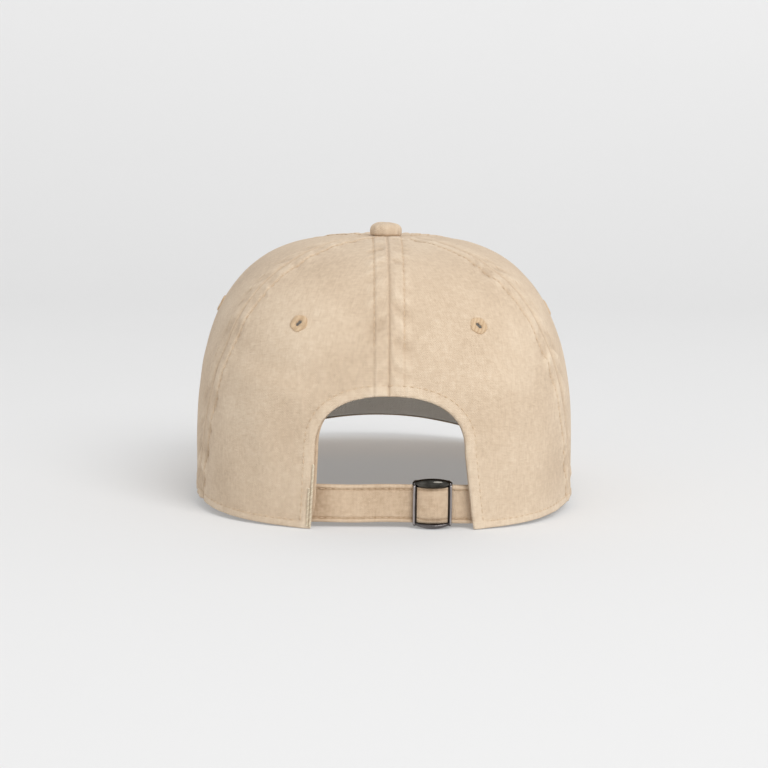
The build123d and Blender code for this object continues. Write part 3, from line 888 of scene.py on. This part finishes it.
def make_visor_cover(name, under):
    columns, rows, rim_rows = 321, 64, 9
    edge = visor_outline(columns)
    outward = away_from_middle(edge)
    angle = np.linspace(VISOR_CORNER, 360 - VISOR_CORNER, columns)
    inner_r = plan_radius(angle) - 0.6
    inner = np.stack([inner_r * np.sin(np.radians(angle)), inner_r * np.cos(np.radians(angle))], 1)
    room = np.linalg.norm(edge - inner, axis=1)
    inset = RIM_R * np.clip(room / 8, 0, 1)
    start = edge - outward * inset[:, None]
    t = np.linspace(0, 1, rows)[:, None, None]
    plan = inner + (start - inner) * t
    phi = np.radians(np.linspace(90 / rim_rows, 90, rim_rows))[:, None]
    tuck = 0.35 * smooth(phi, 1.1, math.pi / 2)
    rim = edge - outward * (inset * (1 - np.sin(phi)) + tuck)[..., None]
    plan = np.concatenate([plan, rim])
    drop = np.concatenate([np.zeros((rows, columns)), RIM_R * (1 - np.cos(phi)) + np.zeros(columns)])
    top = visor_z(plan[..., 0], plan[..., 1]) - VISOR_GAP
    z = top - VISOR_DEPTH + drop if under else top - drop
    points = np.concatenate([plan, z[..., None]], -1).reshape(-1, 3)
    out = visor_relief(points, edge, 44 if under else 31)
    points[:, 2] += -out if under else out
    faces = grid_faces(rows + rim_rows, columns)
    # The relief also serves as tone, so the sunken stitch rows are darker with painted shade.
    obj = piece(name, points, faces if under else faces[:, ::-1], TWILL, points[:, :2], out,
                replaces=[name])
    return solidify(obj, VISOR_COVER_T)


def visor_row(inset, under):
    edge = visor_outline(721)
    path = edge - away_from_middle(edge) * inset
    round_angle = np.degrees(np.arctan2(path[:, 0], path[:, 1]))
    clear = np.linalg.norm(path, axis=1) > plan_radius(round_angle) + 2.5
    forward = path[:, 1] < VISOR_WIDEST_Y + 34
    path = path[clear & forward]
    z = visor_z(path[:, 0], path[:, 1]) - VISOR_GAP
    points = np.concatenate([path, z[:, None]], 1)
    sunk = visor_relief(points, edge, 44 if under else 31)
    points[:, 2] += -VISOR_DEPTH - sunk if under else sunk
    away = np.zeros_like(points)
    away[:, 2] = -1.0 if under else 1.0
    return points, away


def make_visor():
    for name, under in (("visor_top_cover", False), ("visor_under_cover", True)):
        make_visor_cover(name, under)
        sew(name + "_stitching", [visor_row(inset, under) for inset in VISOR_ROWS], THREAD)


# ---- inside ----
def soft_only(angle, height):
    """The crown's broad folds, which the linings follow too."""
    p = crown(angle, height)
    gap, _ = seam_distance(angle, height)
    arch = arch_distance_behind(p)
    r = np.hypot(p[..., 0], p[..., 1])
    soft = noise(p, 42, 3) * 0.75 * smooth(gap, 2, 20) * smooth(arch, 0, 15) + folds(p)
    return (soft + top_fullness(r)) * smooth(r, 2.4, 9)


def lining(name, first, last, low, high, depth, thickness, material, slot, across=24, upward=120,
           ripple=0.15, bottom=None, hole=None, skirt=0.0):
    h = np.linspace(low, high, upward)
    a = first(h)[:, None]
    b = last(h)[:, None]
    u = np.linspace(0, 1, across)
    angle = (a + (b - a) * u).ravel()
    height = np.repeat(h, across)
    points = crown(angle, height, depth + LINING_DROP)
    wavy = noise(points, 7, 51) * ripple + noise(points, 19, 52) * ripple
    edges = smooth(np.minimum(u, 1 - u) * 10, 0, 1)
    out = soft_only(angle, height) + wavy * np.tile(edges, upward)
    points = points + crown_normal(angle, height) * out[:, None]
    points[:, 2] -= skirt * at_visor(angle) * (1 - smooth(height, low, low + 0.05))
    if bottom is not None:
        points[:, 2] = np.maximum(points[:, 2], bottom)
    faces = grid_faces(upward, across)
    if hole is not None:
        middle = crown(angle, height)[faces].mean(1)
        faces = faces[np.linalg.norm(middle - crown(hole, EYELET_HEIGHT), axis=1) > LINING_HOLE]
    if last(h)[0] < first(h)[0]:
        faces = faces[:, ::-1]
    spread = np.radians(angle) * 85.0
    obj = piece(name, points, faces[:, ::-1], material, np.stack([spread, height * CLOTH_RISE], 1), wavy,
                replaces=[name])
    return solidify(obj, thickness)


def tape(name, pair, side, low, high, depth=FIRST_DEPTH):
    lining(name, beside(pair, side, -TAPE_HALF), beside(pair, side, TAPE_HALF), low, high, depth,
           TAPE_T, LINING, "seam_tape")


def make_linings():
    for name, side in (("left", 1), ("right", -1)):
        tape("side_back_seam_tape_" + name, BACK_SEAM, side, 0.01, 0.9)
        tape("front_side_seam_tape_" + name, FRONT_SEAM, side, 0.01, 0.9)
        lining("front_buckram_" + name, beside(FRONT_SEAM, side, TAPE_HALF + 0.3),
               beside(CENTRE_FRONT, side, -0.2), 0.01, 0.88, FIRST_DEPTH, STIFFENER_T, BUCKRAM,
               "buckram", across=70, ripple=0.08, hole=side * EYELETS["front"])
    tape("centre_back_seam_tape", CENTRE_BACK, 1, 0.37, 0.82)
    tape("centre_front_seam_tape", CENTRE_FRONT, 1, 0.2, 0.88, SECOND_DEPTH)
    ends = (constant(BAND_FROM), constant(BAND_TO))
    lining("sweatband_interlining", *ends, 0.006, 0.16, SECOND_DEPTH, STIFFENER_T, FELT, "interlining",
           across=420, upward=24, ripple=0.1, bottom=LOWEST)
    lining("sweatband", *ends, 0.004, 0.17, BAND_DEPTH, BAND_T, BAND, "sweatband", across=520,
           upward=34, ripple=0.3, bottom=LOWEST, skirt=4.2)
    angle = np.linspace(BAND_FROM + 1, BAND_TO - 1, 700)
    height = np.zeros_like(angle) + 0.158
    normal = crown_normal(angle, height)
    path = crown(angle, height, BAND_DEPTH + LINING_DROP + 0.75) + normal * soft_only(angle, height)[:, None]
    sew("sweatband_stitching", [(path, -normal)], PALE_THREAD)


def make_arch_facing():
    x, z = arch_path(0.0, foot_z=2.6, count=90)
    rows, across = len(x), 16
    peek = FACING_PEEK * smooth(x, 18, 30) * (1 - smooth(z, 34, 52)) * smooth(z, 2, 12)
    places = []
    for k in range(across):
        grow = -peek + (FACING_WIDTH + peek) * (k / (across - 1))
        places.append(locate(*arch_offset(x, z, grow)))
    angle, height = (np.array(v).T.ravel() for v in zip(*places))
    out = soft_only(angle, height) - (FIRST_DEPTH + LINING_DROP)
    points = crown(angle, height) + crown_normal(angle, height) * out[:, None]
    points[:, 2] = np.maximum(points[:, 2], 1.0)
    wavy = noise(points, 4, 61) * 0.2
    faces = grid_faces(rows, across)
    uv = np.stack([np.repeat(np.arange(rows) * 1.5, across), np.tile(np.arange(across) * 0.7, rows)], 1)
    obj = piece("arch_facing", points, faces, STRAP_TWILL, uv, wavy,
                replaces=["arch_facing"])
    return solidify(obj, TAPE_T)


def arch_offset(x, z, grow):
    """Moves x and z outwards from the opening's edge by grow."""
    step = 0.05
    gx = (arch_distance(x + step, z) - arch_distance(x - step, z)) / (2 * step)
    gz = (arch_distance(x, z + step) - arch_distance(x, z - step)) / (2 * step)
    size = np.maximum(np.hypot(gx, gz), 1e-6)
    return x + gx / size * grow, z + gz / size * grow


def make_overlock():
    """The serged edge that shows at the left foot of the opening."""
    z = np.arange(OVERLOCK_FOOT, OVERLOCK_TOP, OVERLOCK_PITCH)
    foot = ARCH_HALF_LEFT + (ARCH_FOOT_LEFT - ARCH_HALF_LEFT) * np.clip(1 - z / ARCH_SPRING_Z, 0, 1)
    rows = []
    for zi, xi in zip(z, foot):
        share = np.linspace(0, 1, 5)
        wide = OVERLOCK_WIDTH * (1 - 0.6 * smooth(zi, 14, OVERLOCK_TOP))
        angle, height = locate(xi - 0.45 + wide * share, zi + 1.0 * share)
        away = crown_normal(angle, height)
        rows.append((cloth(angle, height, 0.1), away))
    sew("left_edge_overlock", rows, PALE_THREAD, length=1.25, pitch=1.3, radius=0.36)


# ---- strap ----
def band(name, x0, x1, y_middle, thickness, low, high, material, seed, columns=160, body="cap",
         replaces=(), ripple=0.14):
    """A soft doubled band with a fuller welt outside each stitch row."""
    half = (high - low) / 2
    mid = (high + low) / 2
    side_count = 40
    s = np.linspace(-1, 1, side_count)
    inset = STRAP_ROW / half
    welt = 1 - 0.34 * np.exp(-((np.abs(s) - (1 - inset)) / (0.45 / half)) ** 2)
    body_thick = np.where(np.abs(s) > 1 - inset, 1.0, 0.86)
    edge = np.sqrt(np.clip(1 - np.clip((np.abs(s) - 1 + 0.7 / half) / (0.7 / half), 0, 1) ** 2, 0, 1))
    profile = thickness / 2 * welt * body_thick * edge
    section_y = np.concatenate([profile, -profile[::-1][1:-1]])
    section_z = np.concatenate([s * half, (s * half)[::-1][1:-1]])
    count = len(section_y)
    x = np.linspace(x0, x1, columns)
    xx = np.repeat(x, count)
    yy = np.tile(section_y, columns)
    zz = np.tile(section_z, columns)
    place = np.stack([xx, zz * 0.25, np.sign(yy)], 1)
    wave = noise(place, 7.0, seed) * ripple + noise(place, 3.0, seed + 1) * ripple * 0.4
    flat_part = smooth(half - np.abs(zz), 1.2, 3.4)
    wander = noise(np.stack([xx, 0 * xx, 0 * xx], 1), 16.0, seed + 2) * 0.22
    y = y_middle + yy + np.sign(yy) * (wave - ripple * 0.5) * flat_part
    points = np.stack([xx, y, mid + zz + wander * (np.abs(zz) > half - 3)], 1)
    faces = [face[::-1] for face in tube_faces(columns, count)]
    # Tone: darker in the stitch grooves, which is painted shade, and lighter along both edges.
    groove = np.exp(-((np.abs(zz) - half + STRAP_ROW) / 0.5) ** 2)
    tone = wave - 1.0 * groove + 0.35 * (np.abs(zz) > half - 1.4)
    return piece(name, points, faces, material, np.stack([xx, zz], 1), tone, body=body,
                 replaces=replaces)


def band_rows(x0, x1, y, low, high):
    x = np.linspace(x0, x1, 80)
    rows = []
    for z in (low + STRAP_ROW, high - STRAP_ROW):
        wander = noise(np.stack([x, 0 * x, 0 * x], 1), 16.0, 73) * 0.15
        path = np.stack([x, y + 0 * x, z + wander], 1)
        rows.append((path, np.tile([0.0, 1.0, 0.0], (len(x), 1))))
    return rows


def make_strap():
    low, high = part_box("strap")
    z = (low.z / MM, high.z / MM)
    x = (low.x / MM, high.x / MM)
    band("strap", *x, STRAP_Y, STRAP_T, *z, STRAP_TWILL, 71, replaces=["strap"], ripple=0.3)
    sew("strap_stitching", band_rows(x[0] + 1, x[1] - 1, STRAP_Y + 0.46, *z), THREAD, radius=0.15)
    low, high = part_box("strap_return")
    back = band("strap_return", low.x / MM, high.x / MM + 0.3, RETURN_Y, RETURN_T, *z, STRAP_TWILL, 75,
                columns=60, body=None, replaces=["strap_return"], ripple=0.05)
    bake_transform(back)
    make_end_fold(z)
    make_window_cloth(z)
    make_ring_tab()


def ribbon(name, path, low, high, thickness, material, body):
    """A band whose middle line is a path of x and y, standing upright between two heights."""
    path = np.asarray(path)
    columns, side_count = len(path), 26
    run = unit(np.gradient(path, axis=0))
    across = np.stack([-run[:, 1], run[:, 0]], 1)
    s = np.linspace(-1, 1, side_count)
    edge = np.sqrt(np.clip(1 - np.clip((np.abs(s) - 0.93) / 0.07, 0, 1) ** 2, 0, 1))
    groove = 1 - 0.3 * np.exp(-((np.abs(s) - 0.78) / 0.05) ** 2)
    profile = thickness / 2 * edge * groove
    section = np.concatenate([profile, -profile[::-1][1:-1]])
    z = np.concatenate([s, s[::-1][1:-1]]) * (high - low) / 2 + (high + low) / 2
    count = len(section)
    flat = path[:, None, :] + across[:, None, :] * section[None, :, None]
    zz = np.tile(z, (columns, 1))
    points = np.concatenate([flat, zz[..., None]], -1).reshape(-1, 3)
    uv = np.stack([np.repeat(lengths(path), count), points[:, 2]], 1)
    tone = noise(points, 3, 81) * 0.3
    return piece(name, points, tube_faces(columns, count), material, uv, tone, body=body,
                 replaces=[name])


def make_end_fold(z):
    """The strap's end, folded round the centre bar and sewn to itself."""
    low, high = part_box("strap_end_fold")
    bar_low, bar_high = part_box("buckle_bar")
    cx = (bar_low.x + bar_high.x) / 2 / MM
    cy = (bar_low.y + bar_high.y) / 2 / MM
    radius = high.y / MM - 0.5 - cy
    turn = np.linspace(math.pi / 2, -math.pi / 2, 22)
    x = np.concatenate([np.linspace(low.x / MM, cx - 0.3, 14), cx + radius * np.cos(turn),
                        np.linspace(cx - 0.3, low.x / MM, 14)])
    y = np.concatenate([np.full(14, cy + radius), cy + radius * np.sin(turn), np.full(14, cy - radius)])
    ribbon("strap_end_fold", np.stack([x, y], 1), *z, 0.95, STRAP_TWILL, "slide_buckle")


def make_window_cloth(z):
    """The strap's cloth where it swells forward between the side bars."""
    low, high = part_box("buckle_frame")
    mid = (low.x + high.x) / 2 / MM
    columns, rows = 60, 70
    u = np.linspace(-1, 1, columns)[None, :]
    v = np.linspace(-1, 1, rows)[:, None]
    bottom = z[0] + 0.25 - 0.9 * (1 - u ** 2)
    top = z[1] + 0.2 + 0 * u
    x = mid + WINDOW_HALF * u + 0 * v
    zz = bottom + (top - bottom) * (v + 1) / 2
    swell = (1 - u ** 2) ** 0.6 * (1 - 0.9 * np.abs(v) ** 6)
    y = WINDOW_Y + WINDOW_SWELL * swell
    place = np.stack([x, zz, y + 0 * zz], -1)
    seam_line = np.exp(-((1 - np.abs(v)) * 8.2 - 2.1) ** 2 / 0.25) * (0.6 + 0.4 * (1 - u ** 2))
    y = y + noise(place, 4.5, 91) * 0.12 - 0.2 * seam_line
    points = np.stack([x, y, zz], -1).reshape(-1, 3)
    # Tone: darker along the sewn lines, which is painted shade, and lighter near the top and bottom edges.
    tone = (noise(place, 3.0, 92) * 0.3 - 0.8 * seam_line + 0.4 * (np.abs(v) > 0.8)).ravel()
    obj = piece("strap_in_buckle", points, grid_faces(rows, columns)[:, ::-1], STRAP_TWILL,
                np.stack([points[:, 0], points[:, 2]], 1), tone, body="slide_buckle")
    return solidify(obj, WINDOW_T)


def make_ring_tab():
    """A folded cloth loop that holds the ring to the panel."""
    low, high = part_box("ring_tab")
    ring_low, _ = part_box("strap_ring")
    z = (low.z / MM, high.z / MM)
    centre = np.array([ring_low.x / MM + RING_WIRE_R, ring_low.y / MM + RING_WIRE_R])
    turn = np.linspace(math.pi / 2, -math.pi / 2, 18)
    x = np.concatenate([np.linspace(-TAB_REACH, 0, 14)[:-1], TAB_LOOP_R * np.cos(turn),
                        np.linspace(0, -TAB_REACH, 14)[1:]])
    y = np.concatenate([np.full(13, TAB_LOOP_R), TAB_LOOP_R * np.sin(turn), np.full(13, -TAB_LOOP_R)])
    c, s = math.cos(TAB_LEAN), math.sin(TAB_LEAN)
    path = np.stack([centre[0] + x * c - y * s, centre[1] + x * s + y * c], 1)
    ribbon("ring_tab", path, *z, 0.65, TWILL, "cap")


# ---- buckle ----
def side_bar(side):
    """A slim upright bar, with light painted on its outer face and shade painted on the face sloping in to
    the window.
    """
    section = np.array([(0.95, 0.0), (0.95, 0.9), (0.8, 1.35), (0.4, 1.6), (0.05, 1.5), (-0.25, 1.1),
                        (-0.7, 0.5), (-0.85, 0.2), (-0.8, 0.0)])
    # Tone for each point of the section: painted light on the outer face, painted shade on the face that
    # slopes in to the window.
    shade = np.array([0.0, 0.7, 0.9, 0.8, -0.2, -0.9, -1.0, -0.9, -0.5])
    if side < 0:
        section = section[::-1] * np.array([-1, 1])
        shade = shade[::-1]
    z = np.linspace(*SIDE_BAR_Z, 30)
    bow = 0.35 * (1 - ((z - 10.2) / 8.4) ** 2)
    points = []
    for zi, b in zip(z, bow):
        points += [(side * SIDE_BAR_X + side * b * 0.35 + px, SIDE_BAR_Y + py, zi) for px, py in section]
    return np.array(points), tube_faces(len(z), len(section)), np.tile(shade, len(z))


def swept_bar(x, z, y, half_z, half_y, sides):
    """A bar along X, oval in section, where the arrays give its line and its thickness."""
    turn = np.arange(sides) / sides * 2 * math.pi
    points = []
    for i in range(len(x)):
        for t in turn:
            points.append((x[i], y[i] + half_y[i] * math.cos(t), z[i] + half_z[i] * math.sin(t)))
    return np.array(points), tube_faces(len(x), sides)


def metal(name, points, faces, tone, material=ANTIQUE, replaces=()):
    piece(name, points, faces, material, tone=tone + 0 * points[:, 0], body="slide_buckle",
          replaces=replaces)


def make_buckle():
    low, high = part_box("buckle_frame")
    middle = np.array([(low.x + high.x) / 2 / MM, 0, 0])
    for name, side in (("buckle_side_bar_left", 1), ("buckle_side_bar_right", -1)):
        points, faces, tone = side_bar(side)
        metal(name, points + middle, faces, tone)
    u = np.linspace(-0.995, 0.995, 60)
    lens = (1 - u ** 2) ** 0.62
    points, faces = swept_bar(8.5 * u, 18.9 + 0.5 * (1 - u ** 2), 94.2 - 2.4 * u ** 2,
                              0.55 + 1.65 * lens, 0.8 + 1.3 * lens, 36)
    # The top bar gets the darker metal and a tone of -0.6: a painted dark reflection, while the rest of the
    # frame is antique silver.
    metal("buckle_top_bar", points + middle, faces, -0.6, DARK_PAINTED_GLOSS, ["buckle_frame"])
    u = np.linspace(-1, 1, 50)
    thick = 0.5 + 0.7 * (1 - u ** 2)
    points, faces = swept_bar(8.2 * u, 2.45 - 1.15 * (1 - u ** 2), 93.5 + 1.5 * (1 - u ** 2), thick,
                              thick * 1.3, 20)
    # Tone: the bottom bar is darker than the side bars and darker still on its upper side under the cloth,
    # which is painted shade.
    tone = -0.25 - 0.6 * smooth(points[:, 2], 1.2, 2.8)
    metal("buckle_bottom_bar", points + middle, faces, tone)
    for x in (LINK_X, -LINK_X):
        for name, z in LINK_Z.items():
            side = "left" if x > 0 else "right"
            y = np.linspace(*LINK_Y, 16)
            ring = np.full(16, 0.75)
            points, faces = swept_bar(y, z + 0 * y, 0 * y, ring, ring, 16)
            points = points[:, [1, 0, 2]] + middle + np.array([x, 0, 0])
            metal(f"buckle_link_{name}_{side}", points, [face[::-1] for face in faces], 0)
    for name, z in BACK_BAR_Z.items():
        u = np.linspace(-1, 1, 20)
        ring = np.full(20, 0.8)
        points, faces = swept_bar(LINK_X * u, z + 0 * u, BACK_BAR_Y + 0 * u, ring, ring, 16)
        metal(f"buckle_back_bar_{name}", points + middle, faces, 0)


# ---- cloth sizes, before sewing ----
# Width and length of each cut in metres, and its area where the cut isn't a rectangle.
PAIRED_CUTS = {
    "back_panel": ((0.105, 0.165), 0.0100, "stretched"),
    "side_panel": ((0.125, 0.165), 0.0151, "stretched"),
    "front_panel": ((0.115, 0.150), 0.0104, "stretched"),
    "front_buckram": ((0.100, 0.140), 0.0089, "stretched"),
    "side_back_seam_tape": ((0.014, 0.165), None, "laid"),
    "front_side_seam_tape": ((0.014, 0.155), None, "laid"),
}
SINGLE_CUTS = {
    "centre_back_seam_tape": ((0.014, 0.078), None, "laid"),
    "centre_front_seam_tape": ((0.014, 0.100), None, "laid"),
    "arch_facing": ((0.010, 0.160), None, "laid"),
    "sweatband": ((0.030, 0.500), None, "stretched"),
    "sweatband_interlining": ((0.026, 0.505), None, "stretched"),
    "visor_top_cover": ((0.190, 0.128), 0.0119, "laid"),
    "visor_under_cover": ((0.190, 0.128), 0.0119, "stretched"),
    "top_button": ((0.026, 0.026), 0.00053, "stretched"),
    "strap": ((0.0164, 0.078), None, "stretched"),
    "strap_return": ((0.0164, 0.0104), None, "stretched"),
    "strap_end_fold": ((0.0164, 0.019), None, "folded"),
    "strap_in_buckle": ((0.0135, 0.017), None, "stretched"),
    "ring_tab": ((0.0154, 0.018), None, "folded"),
}


def declare_cloth():
    cuts = dict(SINGLE_CUTS)
    for name, cut in PAIRED_CUTS.items():
        for side in ("left", "right"):
            cuts[name + "_" + side] = cut


# ---- CAD pieces that keep their shape ----
def finish_cad(material, *names):
    for name in names:
        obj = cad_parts[name]
        obj.data.materials.clear()
        obj.data.materials.append(material)


# ---- stage ----
def make_stage():
    floor = Finish("floor", 0.9, specular=0.1)
    tint = floor.noise(floor.place(), 4.0, 2.0)
    floor.feed(floor.ramp(tint, (0.0, [0.56] * 3), (1.0, [0.57] * 3)), "Base Color")
    height = floor.node("SeparateXYZ", {"Vector": floor.place()})
    rise = floor.math("DIVIDE", height.outputs["Z"], GLOW_RISE)
    glow = floor.ramp(rise, (0.0, [FLOOR_GLOW] * 3), (1.0, [WALL_GLOW] * 3))
    floor.feed(glow, "Emission Color")
    floor.shader.inputs["Emission Strength"].default_value = 1.0
    profile = [(STAGE_HALF, 0.0), (WALL_START, 0.0)]
    for k in range(1, 13):
        t = math.pi / 2 * k / 12
        profile.append((WALL_START - WALL_CURVE_R * math.sin(t), WALL_CURVE_R * (1 - math.cos(t))))
    profile.append((WALL_START - WALL_CURVE_R, WALL_TOP))
    points = [(x, y, z) for y, z in profile for x in (-STAGE_HALF, STAGE_HALF)]
    sweep = piece("backdrop", points, grid_faces(len(profile), 2), floor.material, body=None)


def make_light(name, place, target, size, power):
    data = bpy.data.lights.new(name, "AREA")
    data.shape = "DISK"
    data.size = size
    data.energy = power
    obj = bpy.data.objects.new(name, data)
    bpy.context.scene.collection.objects.link(obj)
    obj.location = place
    obj.rotation_euler = (Vector(target) - Vector(place)).to_track_quat("-Z", "Y").to_euler()


def make_lights():
    world = bpy.data.worlds.new("studio")
    world.use_nodes = True
    sky = world.node_tree.nodes["Background"]
    sky.inputs["Color"].default_value = (1, 1, 1, 1)
    sky.inputs["Strength"].default_value = WORLD_LIGHT
    bpy.context.scene.world = world
    make_light("key", (-1.2, 2.0, 2.0), (0, 0, 0.06), size=1.9, power=55)
    make_light("fill", (1.6, 1.9, 0.9), (0, 0, 0.05), size=1.6, power=3)
    bpy.context.scene.view_settings.view_transform = "Standard"
    bpy.context.scene.view_settings.look = "None"


def make_camera():
    data = bpy.data.cameras.new("camera")
    data.lens = CAMERA_LENS
    data.sensor_width = 36.0
    camera = bpy.data.objects.new("camera", data)
    bpy.context.scene.collection.objects.link(camera)
    c, s = math.cos(CAMERA_AROUND), math.sin(CAMERA_AROUND)
    right = Vector((-c, s, 0))
    ahead = Vector((-s * math.cos(CAMERA_DOWN), -c * math.cos(CAMERA_DOWN), -math.sin(CAMERA_DOWN)))
    up = right.cross(ahead)
    turn = Matrix((right, up, -ahead)).transposed().to_4x4() @ Matrix.Rotation(CAMERA_ROLL, 4, "Z")
    camera.matrix_world = Matrix.Translation((CAMERA_AWAY * s, CAMERA_AWAY * c, CAMERA_UP)) @ turn
    bpy.context.scene.camera = camera


make_camera()
make_stage()
make_lights()
make_crown()
make_eyelets()
make_button()
make_visor()
make_linings()
make_arch_facing()
make_overlock()
make_strap()
make_buckle()
finish_cad(ANTIQUE, "buckle_bar", "strap_ring")
finish_cad(STEEL, "button_shell", "button_rivet", "button_washer")
finish_cad(BOARD, "visor_board")
declare_cloth()
